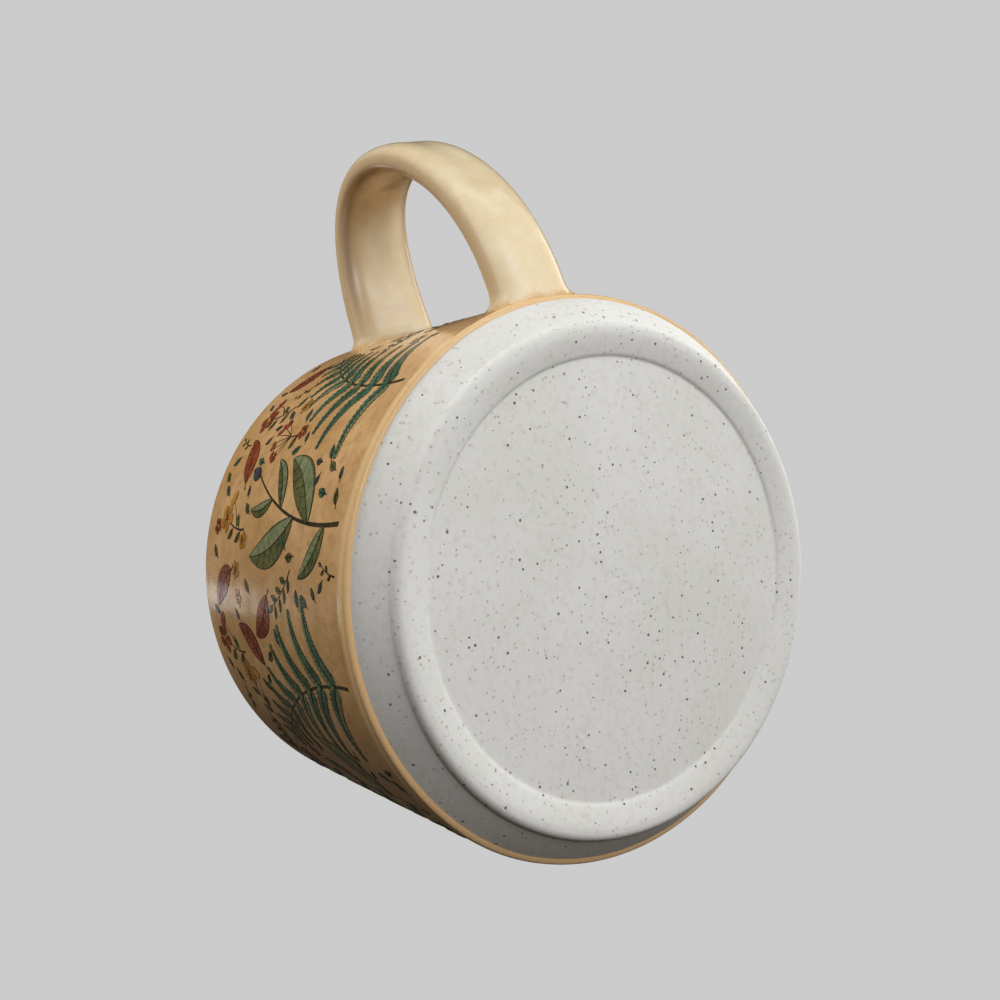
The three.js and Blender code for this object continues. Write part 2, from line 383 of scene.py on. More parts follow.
LIP_MIDDLE = (CLAY_RADIUS - LIP_RADIUS, CLAY_TOP - LIP_RADIUS)
LIP_FACE = WALL_RADIUS - LIP_MIDDLE[0]
LIP_BACK = LIP_RADIUS + 0.02 * MM
LIP_INSIDE = LIP_JOIN - 3 * MM
lip_section = (
    line((WALL_RADIUS, LIP_JOIN), (WALL_RADIUS, LIP_MIDDLE[1]), 8)
    + arc(LIP_MIDDLE, LIP_FACE, 0, 180, 30)
    + line((LIP_MIDDLE[0] - LIP_FACE, LIP_MIDDLE[1] - 0.5 * MM), (LIP_MIDDLE[0] - LIP_FACE, LIP_INSIDE), 14)
    + [(LIP_MIDDLE[0] - LIP_FACE, LIP_INSIDE), (LIP_MIDDLE[0] - LIP_BACK, LIP_INSIDE)]
    + arc(LIP_MIDDLE, LIP_BACK, 180, 0, 10)
    + [(LIP_MIDDLE[0] + LIP_BACK, LIP_JOIN)]
)
lip_glaze = spin_piece("lip_glaze", lip_section, closed=True)


def bore_push(angle, height):
    """The rings that fingers leave inside a thrown cup, fading towards the lip."""
    climb = height / (6.1 * MM) + angle / math.tau
    fade = min(1.0, max(0.0, (LIP_JOIN - 2 * MM - height) / (14 * MM)))
    return 0.11 * MM * math.sin(climb * math.tau) * fade + 0.1 * MM * drift(angle, height * 20, 1.2, 21)


def lip_push(angle, radius, height):
    """The wall's unevenness outside, the bore's inside, and a blend of both over the crest."""
    if radius > LIP_MIDDLE[0] + LIP_RADIUS * 0.5:
        return wall_push(angle, height), 0
    if radius < LIP_MIDDLE[0] - LIP_RADIUS * 0.5:
        return bore_push(angle, height), 0
    blend = (radius - LIP_MIDDLE[0]) / LIP_RADIUS + 0.5
    return blend * wall_push(angle, height) + (1 - blend) * bore_push(angle, height), 0


wobble(lip_glaze, lip_push)
dress(lip_glaze, honey)
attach(lip_glaze, "root")
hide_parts("rim_glaze")

# ---------------------------------------------------------------- liner glaze
# The glaze poured inside the cup: the same family, a little paler, pooled thicker in the floor's
# corner. A closed shell from the floor's middle up to the lip band.

LINER_FACE = LIP_MIDDLE[0] - LIP_FACE
LINER_BACK = BORE_RADIUS - 0.02 * MM
LINER_FLOOR = FLOOR_TOP + 0.8 * MM
LINER_CORNER = FLOOR_CORNER - 0.4 * MM
liner_section = (
    line((0, LINER_FLOOR), (LINER_FACE - LINER_CORNER, LINER_FLOOR), 50)
    + arc((LINER_FACE - LINER_CORNER, LINER_FLOOR + LINER_CORNER), LINER_CORNER, -90, 0, 16)
    + line((LINER_FACE, LINER_FLOOR + LINER_CORNER), (LINER_FACE, LIP_INSIDE), 90)[1:]
    + [(LINER_FACE, LIP_INSIDE), (LINER_BACK, LIP_INSIDE)]
    + line((LINER_BACK, LIP_INSIDE), (LINER_BACK, FLOOR_TOP + FLOOR_CORNER), 4)[1:]
    + arc((BORE_RADIUS - FLOOR_CORNER, FLOOR_TOP + FLOOR_CORNER), FLOOR_CORNER - 0.02 * MM, 0, -90, 8)
    + [(0, FLOOR_TOP + 0.02 * MM)]
)
liner_coat = spin_piece("liner_coat", liner_section, closed=False)


def liner_push(angle, radius, height):
    """The bore's finger rings up the wall, and a spiral of them across the floor."""
    if radius > LINER_FACE + 0.2 * MM or height < LINER_FLOOR - 0.1 * MM:
        return 0, 0
    on_wall = min(1.0, max(0.0, (height - LINER_FLOOR) / (9 * MM)))
    turns = radius / (4.2 * MM) - angle / math.tau
    floor_ring = 0.1 * MM * math.sin(turns * math.tau) * (1 - on_wall) * min(1.0, radius / (8 * MM))
    return bore_push(angle, height) * on_wall, floor_ring


wobble(liner_coat, liner_push)
pale_honey = glaze_finish("liner_honey_glaze", tone(212, 172, 122), tone(184, 142, 88), tone(140, 96, 52),
                          0.5, 0.0)
dress(liner_coat, pale_honey)
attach(liner_coat, "root")
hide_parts("liner_glaze")

# ---------------------------------------------------------------- handle
# A pulled strap of the same clay under a paler glaze: wider than it is thick, rounded at its edges
# with a shallow finger groove down each face, and luted on so that both roots flare into the wall.
# Rolled up from one flat grid; the clay strap inside it is the frame's own, with a clay finish.

STRAP = [(44.0, 10.5), (79.5, 13.5), (95.7, 72.2), (44.0, 57.4)]     # mm from the axis, and height
STRAP_WIDTHS = [13.8, 11.0, 17.3]
STRAP_THICKNESSES = [7.2, 5.2, 5.6]
STRAP_SQUARENESS = 2.5
STRAP_GROOVE = 0.09                                                  # of the thickness
GROOVE_REACH = 0.42                                                  # of the half width
HAND_WIDTH = 0.18                                                    # unevenness by hand, mm
HAND_THICKNESS = 0.12
STRAP_SIDES = 72
STRAP_RINGS = 130
FILLET_RINGS = 10
ROOT_FILLET = 2.7 * MM
ROOT_CLEAR = 0.9 * MM                                                # fillet above the glaze's edge
HANDLE_COAT = 0.45 * MM
ROOT_STEP = 0.004                                                    # of the strap's length


def strap_point(t, turn):
    """A point on the strap's surface: t along it, turn round its section from the +Y edge."""
    weights = ((1 - t) ** 3, 3 * t * (1 - t) ** 2, 3 * t ** 2 * (1 - t), t ** 3)
    centre = [sum(w * p[k] for w, p in zip(weights, STRAP)) for k in (0, 1)]
    slopes = (3 * (1 - t) ** 2, 6 * t * (1 - t), 3 * t ** 2)
    ahead = Vector([sum(s * (STRAP[i + 1][k] - STRAP[i][k]) for i, s in enumerate(slopes)) for k in (0, 1)])
    ahead.normalize()
    mixes = ((1 - t) ** 2, 2 * t * (1 - t), t ** 2)
    width = sum(m * w for m, w in zip(mixes, STRAP_WIDTHS))
    thick = sum(m * w for m, w in zip(mixes, STRAP_THICKNESSES))
    hand = noise.noise(Vector((t * 3.2, 2.5, math.sin(turn) * 0.6)))
    power = 2 / STRAP_SQUARENESS
    across = math.copysign(abs(math.cos(turn)) ** power, math.cos(turn))
    through = math.copysign(abs(math.sin(turn)) ** power, math.sin(turn))
    groove = 1 - STRAP_GROOVE * math.exp(-(across / GROOVE_REACH) ** 2)
    side = across * (width / 2 + HAND_WIDTH * hand)
    out = through * groove * (thick / 2 + HAND_THICKNESS * hand)
    return Vector(((centre[0] + ahead[1] * out) * MM, side * MM, (centre[1] - ahead[0] * out) * MM))


def from_axis(point):
    """How far a point that is measured from the mug's axis lies from it."""
    return math.hypot(point.x, point.y)


def leaves_wall(turn, inner_t, outer_t):
    """Where along the strap the line at this turn reaches the top of the root's fillet."""
    for _ in range(40):
        middle = (inner_t + outer_t) / 2
        if from_axis(strap_point(middle, turn)) < WALL_RADIUS + ROOT_FILLET:
            inner_t = middle
        else:
            outer_t = middle
    return (inner_t + outer_t) / 2


def onto_wall(arc_length, height, lift=0.0):
    """A point of the glazed wall, by its arc length from the handle's plane, still about the axis."""
    angle = arc_length / WALL_RADIUS
    radius = WALL_RADIUS + wall_push(angle, height) + lift
    return Vector((radius * math.cos(angle), radius * math.sin(angle), height))


def root_fillet(turns, starts, step):
    """The lines from the strap's surface that curl out onto the wall, one list of points a turn.

    step is a short way along the strap towards its root."""
    tops = [strap_point(t, turn) for t, turn in zip(starts, turns)]
    corners = []
    for top, t, turn in zip(tops, starts, turns):
        toward = (strap_point(t + step, turn) - top).normalized()
        corner = top.copy()
        while from_axis(corner) > WALL_RADIUS:
            corner += toward * 0.02 * MM
        corners.append((WALL_RADIUS * math.atan2(corner.y, corner.x), corner.z))
    lines = []
    for i, top in enumerate(tops):
        before, after = corners[i - 1], corners[(i + 1) % len(corners)]
        out = Vector((after[1] - before[1], before[0] - after[0])).normalized()
        middle = (sum(c[0] for c in corners) / len(corners), sum(c[1] for c in corners) / len(corners))
        if out.dot(Vector(corners[i]) - Vector(middle)) < 0:
            out = -out
        lowest = roll_foot + dip_line(corners[i][0] / WALL_RADIUS) + ROOT_CLEAR
        corner = onto_wall(corners[i][0], max(corners[i][1], lowest))
        end_height = max(corners[i][1] + out.y * ROOT_FILLET, lowest)
        end = onto_wall(corners[i][0] + out.x * ROOT_FILLET, end_height, -0.05 * MM)
        points = []
        for k in range(FILLET_RINGS):
            t = 1 - k / FILLET_RINGS
            points.append(top * (1 - t) ** 2 + corner * 2 * t * (1 - t) + end * t ** 2)
        lines.append(points)
    return lines


turns = [math.tau * j / STRAP_SIDES for j in range(STRAP_SIDES)]
lower_starts = [leaves_wall(turn, 0.0, 0.3) for turn in turns]
upper_starts = [leaves_wall(turn, 1.0, 0.7) for turn in turns]
lower_root = root_fillet(turns, lower_starts, -ROOT_STEP)
upper_root = root_fillet(turns, upper_starts, ROOT_STEP)
rings = STRAP_RINGS + 2 * FILLET_RINGS

bpy.ops.object.select_all(action="DESELECT")
bpy.ops.mesh.primitive_grid_add(x_subdivisions=rings - 1, y_subdivisions=STRAP_SIDES, size=1)
handle = bpy.context.object
handle.name = "handle_coat"
edge_tint = handle.data.attributes.new("edge_tint", "FLOAT", "POINT")
glaze_break_and_shade_line = handle.data.attributes.new("glaze_break_and_shade_line", "FLOAT", "POINT")
root_fade = handle.data.attributes.new("root_fade", "FLOAT", "POINT")
for v in handle.data.vertices:
    ring = round((v.co.x + 0.5) * (rings - 1))
    side = round((v.co.y + 0.5) * STRAP_SIDES) % STRAP_SIDES
    if ring < FILLET_RINGS:
        place = lower_root[side][ring]
    elif ring >= rings - FILLET_RINGS:
        place = upper_root[side][rings - 1 - ring]
    else:
        share = (ring - FILLET_RINGS) / (STRAP_RINGS - 1)
        t = lower_starts[side] + (upper_starts[side] - lower_starts[side]) * share
        place = strap_point(t, turns[side])
    near_root = min(ring, rings - 1 - ring) / (2.5 * FILLET_RINGS)
    root_fade.data[v.index].value = max(0, 1 - min(ring, rings - 1 - ring) / FILLET_RINGS)
    across, through = math.cos(turns[side]), math.sin(turns[side])
    edge_tint.data[v.index].value = abs(across) ** 2.5 * (0.75 - 0.35 * through) * min(1, 0.4 + near_root)
    # Painted shade, partly: a brown line along the strap's inner edge, where the glaze breaks and which also
    # stands in for the shadow as the strap turns inward.
    glaze_break_and_shade_line.data[v.index].value = math.exp(-((through + 0.6) / 0.16) ** 2) * min(1, near_root)
    v.co = place + Vector((AXIS_X, 0, 0))
bpy.ops.object.mode_set(mode="EDIT")
bpy.ops.mesh.select_all(action="SELECT")
bpy.ops.mesh.remove_doubles(threshold=SAME_POINT)
bpy.ops.mesh.normals_make_consistent(inside=False)
bpy.ops.object.mode_set(mode="OBJECT")
coat = handle.modifiers.new("coat", "SOLIDIFY")
coat.thickness = HANDLE_COAT
coat.offset = -1
bpy.ops.object.modifier_apply(modifier=coat.name)
bpy.ops.object.shade_smooth_by_angle(angle=math.radians(60))

cream_glaze, cream, cream_shader = new_finish("cream_glaze", {"Coat Weight": 0.7, "Coat Roughness": 0.05,
                                                              "IOR": 1.5, "Specular IOR Level": 0.5})
rub = cream.add_node("Attribute", {"attribute_name": "edge_tint"}, {}, "Fac")
root = cream.add_node("Attribute", {"attribute_name": "root_fade"}, {}, "Fac")
# Mask of the brown line on the inner edge: glaze break and painted shade together.
break_and_shade_mask = cream.add_node("Attribute", {"attribute_name": "glaze_break_and_shade_line"}, {}, "Fac")
cream_broad = cream.cloud(70, 3, 0.6).ease(0.35, 0.7)
cream_mottle = cream.cloud(380, 3, 0.65).ease(0.4, 0.75)
cream_specks = cream.grains(360, 0.13, 0.12, 5.5)
cream_colour = cream_broad.blend(tone(221, 206, 175), tone(213, 194, 156))
cream_colour = (cream_mottle * 0.3).blend(cream_colour, tone(196, 168, 120))
cream_colour = (rub.ease(0.15, 0.95) * 0.8).blend(cream_colour, tone(208, 174, 130))
# Darkens the strap's inner edge: the glaze's brown break there plus painted shade.
cream_colour = (break_and_shade_mask * 0.6).blend(cream_colour, tone(126, 92, 52))
cream_colour = (root + cream_mottle * 0.25).ease(0.35, 1.0).blend(cream_colour, tone(190, 148, 94))
cream_colour = (cream_specks * 0.4).blend(cream_colour, tone(110, 84, 54))
cream_peel = cream.cloud(150, 2, 0.5) * 0.8 + cream.cloud(800, 2, 0.5) * 0.1
cream_normal = cream.add_node("Bump", {}, {"Strength": 0.3, "Distance": 0.12 * MM, "Height": cream_peel})
feed(cream, cream_shader, Base_Color=cream_colour, Roughness=0.16 + cream_mottle * 0.14, Normal=cream_normal)
dress(handle, cream_glaze)
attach(handle, "root")
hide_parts("handle_glaze", "lower_slip_joint", "upper_slip_joint")
dress(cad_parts["handle_strap"], bare_clay)

# ---------------------------------------------------------------- printed plants
# A scatter of garden plants printed on the wall under the clear top of the glaze, each colour in
# its own thin ink film with pen outlines. Ferns and leafy branches take turns round the wall, and
# flowers, twigs and loose leaves fill the room between them, each kept clear of its neighbours.

PRINT_BOTTOM = BAND_TOP / MM + 2.6
PRINT_TOP = LIP_JOIN / MM + 0.6
ROUND_LENGTH = math.tau * WALL_RADIUS / MM
FERNS_ROUND = 6
INK_THICK = 0.02
HANDLE_ROOTS = [(0, 14, 13), (0, 55, 15)]                 # along the wall, height, clear radius, mm
pen = random.Random(12)


class Ink:
    """The flat shapes printed in one colour, in millimetres along and up the wall."""

    def __init__(self, name, lift):
        self.name = name
        self.lift = lift * MM
        self.points = []
        self.faces = []

    def ribbon(self, spine, halves, columns=2, shift=0.0):
        """A strip along a spine of points, as wide each side as halves says."""
        first = len(self.points)
        for i, point in enumerate(spine):
            ahead = spine[min(i + 1, len(spine) - 1)] - spine[max(i - 1, 0)]
            across = Vector((-ahead.y, ahead.x)).normalized()
            for k in range(columns + 1):
                self.points.append(point + across * halves[i] * (1 - 2 * k / columns + shift))
        for i in range(len(spine) - 1):
            for k in range(columns):
                corner = first + i * (columns + 1) + k
                below = corner + columns + 1
                self.faces.append((corner, corner + 1, below + 1, below))


line_ink = Ink("line_ink_print", 0.03)
leaf_ink = Ink("leaf_ink_print", 0.055)
fern_ink = Ink("fern_ink_print", 0.06)
rust_ink = Ink("rust_ink_print", 0.065)
ochre_ink = Ink("ochre_ink_print", 0.07)
dusk_ink = Ink("dusk_ink_print", 0.075)
sage_ink = Ink("sage_ink_print", 0.08)
vein_ink = Ink("vein_ink_print", 0.1)


def heading(angle):
    """One millimetre in this direction on the unrolled wall."""
    return Vector((math.cos(angle), math.sin(angle)))


def curve(start, end, bend, steps):
    """Points of a gentle curve whose middle leaves the straight line by bend of its length."""
    side = Vector((start.y - end.y, end.x - start.x))
    middle = (start + end) / 2 + side * bend * 2
    ts = [i / steps for i in range(steps + 1)]
    return [start * (1 - t) ** 2 + middle * 2 * t * (1 - t) + end * t ** 2 for t in ts]


def stem(start, end, bend, width):
    """A drawn stalk that thins towards its end. Returns its points."""
    steps = max(4, int((end - start).length / 1.2))
    spine = curve(start, end, bend, steps)
    line_ink.ribbon(spine, [width * (0.5 - 0.28 * i / steps) for i in range(steps + 1)], 1)
    return spine


def leaf(start, end, width, bend, ink, veins=0, light=None, outline=0.19, belly=0.45):
    """A leaf with a pen outline and midrib; light tints one half of it."""
    steps = max(6, min(26, int((end - start).length / 0.8)))
    spine = curve(start, end, bend, steps)
    power = math.log(0.5) / math.log(belly)
    halves = []
    for i in range(steps + 1):
        halves.append(max(0.02, width / 2 * math.sin(math.pi * (i / steps) ** power) ** 0.85))
    columns = 2 if width < 3 else 4
    line_ink.ribbon(spine, [h + outline for h in halves], columns)
    ink.ribbon(spine, halves, columns)
    if light:
        light.ribbon(spine, [h * 0.42 for h in halves], 2, -1.1)
    if veins:
        vein_ink.ribbon(spine, [0.12 - 0.08 * i / steps for i in range(steps + 1)], 1)
    for k in range(1, veins + 1):
        i = int(k / (veins + 1) * 0.92 * steps)
        ahead = (spine[i + 1] - spine[i]).normalized()
        for side in (1, -1):
            out = Vector((-ahead.y, ahead.x)) * side
            tip = spine[i] + (out * 0.86 + ahead * 0.62) * halves[i] * 0.86
            vein_ink.ribbon([spine[i], (spine[i] + tip) / 2 + ahead * 0.1, tip], [0.05, 0.045, 0.02], 1)


def leaflet(root, angle, length, ink, width=0.4):
    """A small leaf on a short stalk."""
    out = heading(angle)
    stem(root, root + out * length * 0.3, 0.05, 0.26)
    leaf(root + out * length * 0.2, root + out * length, length * width, 0.07, ink, 2, outline=0.12)


def pinna(root, tip, bend, width, light):
    """One leaflet of the fern: a dark midrib with rounded lobes like a comb down both sides."""
    length = (tip - root).length
    lobes = max(4, int(length / 0.85))
    spine = curve(root, tip, bend, lobes * 2)
    halves = [width / 2 * (1 - 0.72 * (i / lobes / 2) ** 1.6) for i in range(lobes * 2 + 1)]
    line_ink.ribbon(spine, [h * 0.66 + 0.14 for h in halves], 2)
    fern_ink.ribbon(spine, [h * 0.66 for h in halves], 2)
    for k in range(lobes):
        i = k * 2 + 1
        ahead = (spine[i + 1] - spine[i - 1]).normalized()
        for side in (1, -1):
            out = Vector((-ahead.y, ahead.x)) * side
            lobe = curve(spine[i] + out * halves[i] * 0.25, spine[i] + (out * 1.1 + ahead * 0.5) * halves[i],
                         0.08 * side, 3)
            body = [length / lobes * share for share in (0.24, 0.36, 0.32, 0.1)]
            line_ink.ribbon(lobe, [b + 0.1 for b in body], 1)
            (sage_ink if light and side > 0 else fern_ink).ribbon(lobe, body, 1)
    vein_ink.ribbon(spine, [0.14 - 0.04 * i / lobes for i in range(lobes * 2 + 1)], 1)


def frond(root, angle, length, bend):
    """A fern frond with leaflets in pairs, shorter and closer towards its tip."""
    spine = stem(root, root + heading(angle) * length, bend, 0.6)
    pairs = 9
    for k in range(pairs):
        share = 0.1 + 0.88 * (1 - (1 - k / pairs) ** 1.25)
        i = int(share * (len(spine) - 2))
        start = spine[i].lerp(spine[i + 1], share * (len(spine) - 2) - i)
        ahead = (spine[i + 1] - spine[i]).normalized()
        reach = length * 0.31 * (1 - share) ** 0.75 + 1.6
        for side in (1, -1):
            out = Vector((-ahead.y, ahead.x)) * side
            lean = 0.3 + 0.45 * share + pen.uniform(-0.08, 0.08)
            tip = start + (out + ahead * lean).normalized() * reach * pen.uniform(0.93, 1.06)
            pinna(start, tip, -0.13 * side, 1.6 + reach * 0.11, pen.random() < 0.4)
    return [(spine[i], length * 0.26 * (1 - i / len(spine)) + 1.5) for i in range(0, len(spine), 4)]


def leafy_branch(root, angle, length, bend):
    """A branch with five two-toned leaves left and right and a dusky bud on top."""
    spine = stem(root, root + heading(angle) * length, bend, 0.75)
    clear = [(spine[i], 2.5) for i in range(0, len(spine), 3)]
    for share, side, size, width in ((0.16, 1, 0.3, 0.3), (0.3, -1, 0.46, 0.36), (0.48, 1, 0.48, 0.34),
                                     (0.64, -1, 0.3, 0.26), (0.78, 1, 0.24, 0.26)):
        i = int(share * (len(spine) - 2))
        turn = math.atan2(*(spine[i + 1] - spine[i]).yx) + side * pen.uniform(0.55, 0.85)
        tip = spine[i] + heading(turn) * length * size
        leaf(spine[i], tip, length * size * width, 0.1 * side, leaf_ink, 5, sage_ink)
        clear.append(((spine[i] + tip * 2) / 3, length * size * 0.34))
    leaf(spine[-1], spine[-1] + heading(angle - 0.1) * 4.5, 2.3, 0.05, dusk_ink, 1)
    return clear


def open_flower(centre, radius, ink, eye):
    """A five-petalled flower seen from the front."""
    first = pen.uniform(0, math.tau)
    for k in range(5):
        out = heading(first + math.tau * k / 5)
        petal_tip = centre + out * radius * pen.uniform(0.9, 1.05)
        leaf(centre + out * radius * 0.15, petal_tip, radius * 0.66, 0.05, ink, outline=0.1, belly=0.6)
        vein_ink.ribbon([centre + out * radius * 0.2, centre + out * radius * 0.72], [0.05, 0.02], 1)
    side = Vector((radius * 0.2, 0))
    leaf(centre - side, centre + side, radius * 0.4, 0, eye, outline=0.08, belly=0.5)


def flower_sprig(centre, angle, ink, eye):
    """An open flower, a half-open one beside it, and three leaves on a curved stalk."""
    foot = centre - heading(angle) * 6.5
    spine = stem(foot, centre + heading(angle) * 2.5, 0.08, 0.42)
    for i, side in ((1, 1), (2, -1), (4, 1)):
        leaflet(spine[i], angle + side * 0.9, pen.uniform(2.8, 3.6), leaf_ink)
    beside = centre + heading(angle - 1.1) * 3.6
    stem(spine[3], beside, -0.08, 0.3)
    for k in (-1, 0, 1):
        leaf_end = beside + heading(angle - 0.6 + k * 0.6) * 2.3
        leaf(beside, leaf_end, 1.2, 0.04 * k, ink, outline=0.1, belly=0.6)
    open_flower(centre + heading(angle) * 3.2, 3.0, ink, eye)


def umbel(centre, angle, ink):
    """A flat-topped head of tiny flowers on rays that leave one point."""
    root = centre - heading(angle) * 2.5
    stem(root - heading(angle) * 4.5, root, 0.06, 0.45)
    leaflet(root - heading(angle) * 3, angle + 1, 3.2, leaf_ink)
    for k in range(-3, 4):
        tip = root + heading(angle + k * 0.26) * (6.2 - 0.12 * k * k)
        stem(root, tip, 0.02 * k, 0.22)
        for _ in range(3):
            bead = tip + Vector((pen.uniform(-0.7, 0.7), pen.uniform(-0.6, 0.6)))
            leaf(bead - Vector((0.55, 0)), bead + Vector((0.55, 0)), 0.9, 0, ink, outline=0.1, belly=0.5)


def autumn_leaf(centre, angle, ink):
    """A broad veined leaf lying on its own."""
    half = heading(angle) * 5.2
    stem(centre - half * 1.3, centre - half * 0.9, 0.05, 0.4)
    leaf(centre - half, centre + half, 4.6, pen.choice((-0.1, 0.1)), ink, 6)


def twig(centre, angle, ink, length):
    """A thin stalk with small leaves left and right, and a dusky bud at its end."""
    half = heading(angle) * length / 2
    spine = stem(centre - half, centre + half, 0.07, 0.34)
    for i in range(1, len(spine) - 1):
        leaflet(spine[i], angle + (0.85 if i % 2 else -0.85), length * 0.26, ink, 0.38)
    leaf(spine[-1], spine[-1] + heading(angle) * length * 0.2, length * 0.1, 0, dusk_ink, outline=0.1)


taken = [(Vector((along, up)), radius) for along, up, radius in HANDLE_ROOTS]


def has_room(centre, radius):
    """Whether a plant of this radius clears the ones already printed, round the whole wall."""
    if not PRINT_BOTTOM + radius * 1.4 < centre.y < PRINT_TOP - radius * 1.4:
        return False
    for other, reach in taken:
        along = (centre.x - other.x + ROUND_LENGTH / 2) % ROUND_LENGTH - ROUND_LENGTH / 2
        if math.hypot(along, centre.y - other.y) < radius + reach:
            return False
    return True


FERN_GAP = ROUND_LENGTH / FERNS_ROUND
FIRST_FERN = 0.42                                     # gaps between the handle and the first fern
FERN_LENGTH = 46
BRANCH_LENGTH = 38
for place in range(FERNS_ROUND):
    along = (place + FIRST_FERN) * FERN_GAP
    way = 1 if place % 2 else -1
    fern_lean = math.pi / 2 - way * pen.uniform(0.3, 0.45)
    taken += frond(Vector((along, PRINT_BOTTOM + 1)), fern_lean, FERN_LENGTH, 0.1 * way)
    if place < FERNS_ROUND - 1:
        branch_root = Vector((along + FERN_GAP / 2, PRINT_BOTTOM + 1))
        branch_lean = math.pi / 2 + way * pen.uniform(0.1, 0.25)
        taken += leafy_branch(branch_root, branch_lean, BRANCH_LENGTH, -0.08 * way)

flowers = [
    lambda c, a: flower_sprig(c, a, ochre_ink, rust_ink),
    lambda c, a: umbel(c, a, rust_ink),
    lambda c, a: autumn_leaf(c, a, rust_ink),
    lambda c, a: flower_sprig(c, a, rust_ink, ochre_ink),
    lambda c, a: twig(c, a, leaf_ink, 10),
]
small = [
    lambda c, a: twig(c, a, leaf_ink, 5),
    lambda c, a: leaflet(c - heading(a) * 1.7, a, 3.4, leaf_ink),
    lambda c, a: open_flower(c, 1.8, ochre_ink, rust_ink),
    lambda c, a: leaflet(c - heading(a) * 1.7, a, 3.4, fern_ink),
    lambda c, a: open_flower(c, 1.7, rust_ink, ochre_ink),
    lambda c, a: leaflet(c - heading(a) * 1.3, a, 2.6, dusk_ink),
]
for kinds, radius, tries in ((flowers, 4.8, 4000), (small, 2.0, 6000), (small[1::2], 1.3, 6000)):
    printed = 0
    for _ in range(tries):
        centre = Vector((pen.uniform(0, ROUND_LENGTH), pen.uniform(PRINT_BOTTOM, PRINT_TOP)))
        if has_room(centre, radius):
            kinds[printed % len(kinds)](centre, pen.uniform(0.2, math.pi - 0.2))
            taken.append((centre, radius))
            printed += 1


def ink_finish(name, deep, mid, worn, wear, gloss=0.6):
    """Ink under the glaze's clear top, worn thin in places so that the honey ground tints it."""
    finish, ink, shader = new_finish(name, {"Coat Weight": gloss, "Coat Roughness": 0.12, "IOR": 1.5,
                                            "Specular IOR Level": gloss * 0.8})
    strokes = ink.cloud(900, 3, 0.7).ease(0.4, 0.72)
    colour = ink.cloud(220, 3, 0.6).ease(0.38, 0.68).blend(deep, mid)
    colour = (strokes * wear).blend(colour, worn)
    peel = ink.cloud(160, 2, 0.5) * 0.7 + ink.cloud(900, 2, 0.5) * 0.12
    normal = ink.add_node("Bump", {}, {"Strength": 0.35, "Distance": 0.12 * MM, "Height": peel})
    feed(ink, shader, Base_Color=colour, Roughness=0.22 + strokes * 0.12, Normal=normal)
    return finish


def lay_film(ink, finish):
    """Wraps one ink's flat shapes on the wall, a few hundredths of a millimetre proud of it."""
    mesh = bpy.data.meshes.new(ink.name)
    places = []
    for point in ink.points:
        height = min(max(point.y, PRINT_BOTTOM), PRINT_TOP) * MM
        places.append(onto_wall(point.x * MM, height, ink.lift) + Vector((AXIS_X, 0, 0)))
    mesh.from_pydata(places, [], ink.faces)
    film = bpy.data.objects.new(ink.name, mesh)
    bpy.context.scene.collection.objects.link(film)
    bpy.ops.object.select_all(action="DESELECT")
    film.select_set(True)
    bpy.context.view_layer.objects.active = film
    for face in mesh.polygons:
        out = Vector((face.center.x - AXIS_X, face.center.y, 0))
        if face.normal.dot(out) < 0:
            face.flip()
    thick = film.modifiers.new("thick", "SOLIDIFY")
    thick.thickness = INK_THICK * MM
    thick.offset = -1
    thick.material_offset_rim = 1
    dress(film, finish)
    film.data.materials.append(film_edge)
    bpy.ops.object.modifier_apply(modifier=thick.name)
    bpy.ops.object.shade_smooth_by_angle(angle=math.radians(40))
    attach(film, "root")


film_edge = ink_finish("film_edge", tone(44, 42, 30), tone(60, 52, 34), tone(80, 66, 42), 0.35, gloss=0.0)
dark_line = ink_finish("dark_line_ink", tone(34, 36, 27), tone(50, 46, 31), tone(80, 66, 42), 0.35)
lay_film(line_ink, dark_line)
lay_film(vein_ink, dark_line)
lay_film(fern_ink, ink_finish("teal_ink", tone(40, 76, 62), tone(62, 102, 84), tone(104, 124, 92), 0.5))
lay_film(leaf_ink, ink_finish("olive_ink", tone(58, 70, 40), tone(88, 94, 54), tone(130, 116, 70), 0.5))
lay_film(sage_ink, ink_finish("sage_ink", tone(96, 112, 82), tone(120, 128, 92), tone(150, 140, 98), 0.6))
lay_film(rust_ink, ink_finish("rust_ink", tone(104, 36, 20), tone(138, 58, 32), tone(164, 96, 56), 0.5))
lay_film(ochre_ink, ink_finish("ochre_ink", tone(164, 110, 34), tone(192, 142, 54), tone(184, 116, 60), 0.5))
lay_film(dusk_ink, ink_finish("dusk_ink", tone(42, 48, 58), tone(68, 72, 80), tone(104, 94, 84), 0.45))

# ---------------------------------------------------------------- floor, light and camera
# A plain pale studio. The floor is drawn only from above and stops no light, because the camera
# looks up at the mug's foot from below it.

bpy.ops.object.select_all(action="DESELECT")
bpy.ops.mesh.primitive_plane_add(size=6, location=(0, 0, -0.02 * MM))
floor = bpy.context.object
floor.name = "floor"
floor.visible_diffuse = False
floor.visible_shadow = False
floor_finish, pale, floor_shader = new_finish("pale_floor", {"Base Color": (0.4, 0.4, 0.395, 1),
                                                             "Roughness": 0.9, "Specular IOR Level": 0.1,
                                                             "Emission Color": (0.62, 0.62, 0.61, 1),
                                                             "Emission Strength": 0.35})
under = pale.add_node("NewGeometry", {}, {}, "Backfacing")
see_through = floor_finish.node_tree.nodes.new("ShaderNodeBsdfTransparent")
one_sided = floor_finish.node_tree.nodes.new("ShaderNodeMixShader")
join = floor_finish.node_tree.links.new
join(under.socket, one_sided.inputs[0])
join(floor_shader.outputs[0], one_sided.inputs[1])
join(see_through.outputs[0], one_sided.inputs[2])
join(one_sided.outputs[0], floor_finish.node_tree.nodes["Material Output"].inputs["Surface"])
dress(floor, floor_finish)

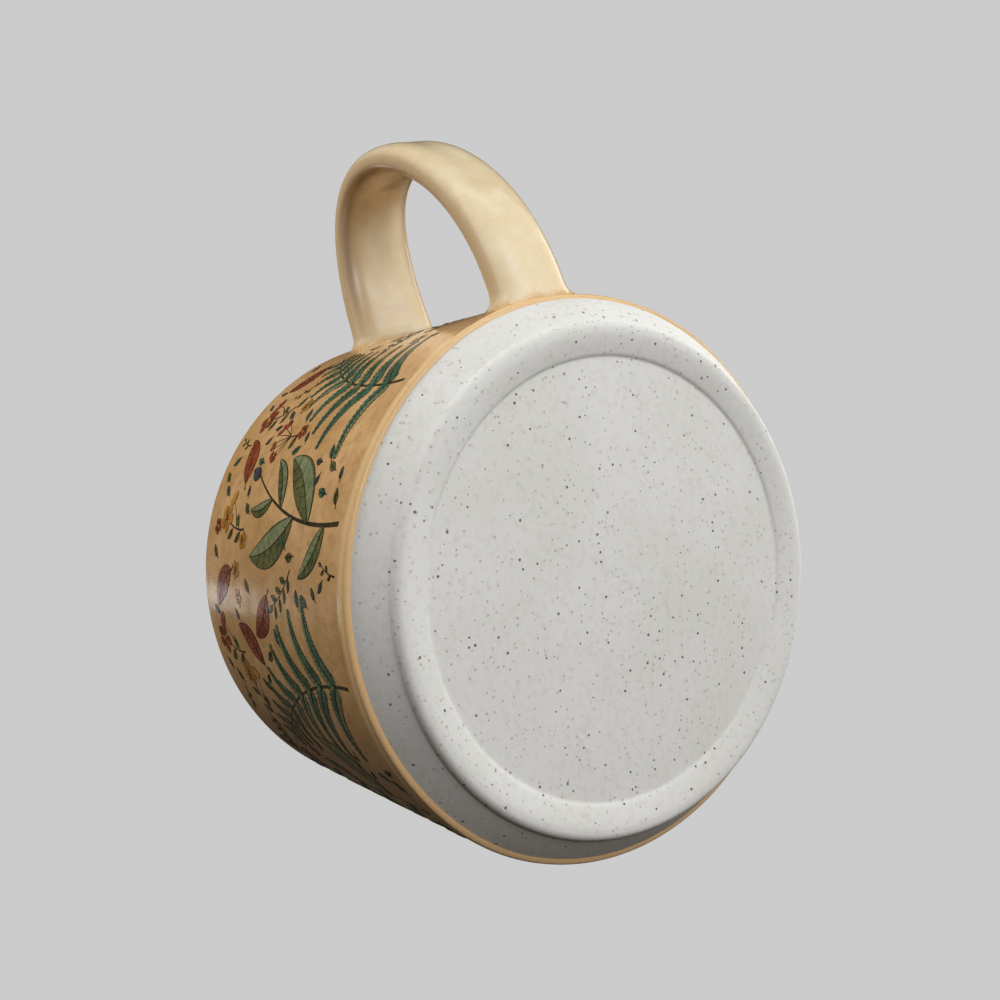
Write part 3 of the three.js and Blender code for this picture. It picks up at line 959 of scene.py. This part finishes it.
world = bpy.data.worlds.new("studio")
bpy.context.scene.world = world
world.use_nodes = True
sky = Recipe(world.node_tree)
seen = sky.add_node("LightPath", {}, {}, "Is Camera Ray")
AMBIENT = (0.05, 0.038, 0.027, 1)
BACKDROP = (0.6, 0.6, 0.6, 1)
sky_colour = seen.blend(AMBIENT, BACKDROP)
world.node_tree.links.new(sky_colour.socket, world.node_tree.nodes["Background"].inputs["Color"])


def softbox(name, direction, distance, size, watts, mirrored=True):
    """A soft light that faces the mug from a direction; only a mirrored one shows in the glaze."""
    middle = Vector((AXIS_X, 0, CLAY_TOP / 2))
    lamp = bpy.data.lights.new(name, "AREA")
    lamp.shape = "RECTANGLE"
    lamp.size, lamp.size_y = size
    lamp.energy = watts
    light = bpy.data.objects.new(name, lamp)
    bpy.context.scene.collection.objects.link(light)
    away = Vector(direction).normalized()
    light.location = middle + away * distance
    light.visible_glossy = mirrored
    light.rotation_mode = "QUATERNION"
    light.rotation_quaternion = away.to_track_quat("Z", "Y")


softbox("foot_light", (0.53, 0.29, -0.81), 0.5, (0.28, 0.28), 1.9)
softbox("overhead", (-0.05, -0.3, 0.95), 0.55, (0.05, 0.12), 0.02)
softbox("top_key", (0.75, -0.52, 0.45), 0.6, (0.3, 0.3), 3.1, mirrored=False)
softbox("handle_fill", (0.3, -0.1, -0.95), 0.45, (0.1, 0.1), 0.4)
softbox("window_light", (0.3, 0.92, -0.2), 0.6, (0.3, 0.4), 0.7)
softbox("left_fill", (0.7, -0.6, -0.4), 0.6, (0.3, 0.3), 0.4, mirrored=False)
softbox("side_light", (0.85, 0.25, 1.0), 0.8, (0.4, 0.4), 4.2, mirrored=False)
softbox("back_light", (0.1, 1.0, 0.12), 0.8, (0.5, 0.5), 5.5, mirrored=False)

CAMERA_FROM_AXIS = Vector((37.3, -102.8, -130.7)) * MM
CAMERA_LOOK = Vector((-0.125, 0.530, 0.8387)).normalized()
CAMERA_UP = Vector((0.9718, 0.2359, -0.0042))
right = CAMERA_LOOK.cross(CAMERA_UP).normalized()
up = right.cross(CAMERA_LOOK)
lens = bpy.data.cameras.new("camera")
lens.lens = 38.44
lens.sensor_width = 36
lens.clip_start = 5 * MM
camera = bpy.data.objects.new("camera", lens)
bpy.context.scene.collection.objects.link(camera)
turned = Matrix((right, up, -CAMERA_LOOK)).transposed()
camera.matrix_world = Matrix.Translation(Vector((AXIS_X, 0, 0)) + CAMERA_FROM_AXIS) @ turned.to_4x4()
bpy.context.scene.camera = camera
bpy.context.scene.view_settings.view_transform = "Standard"
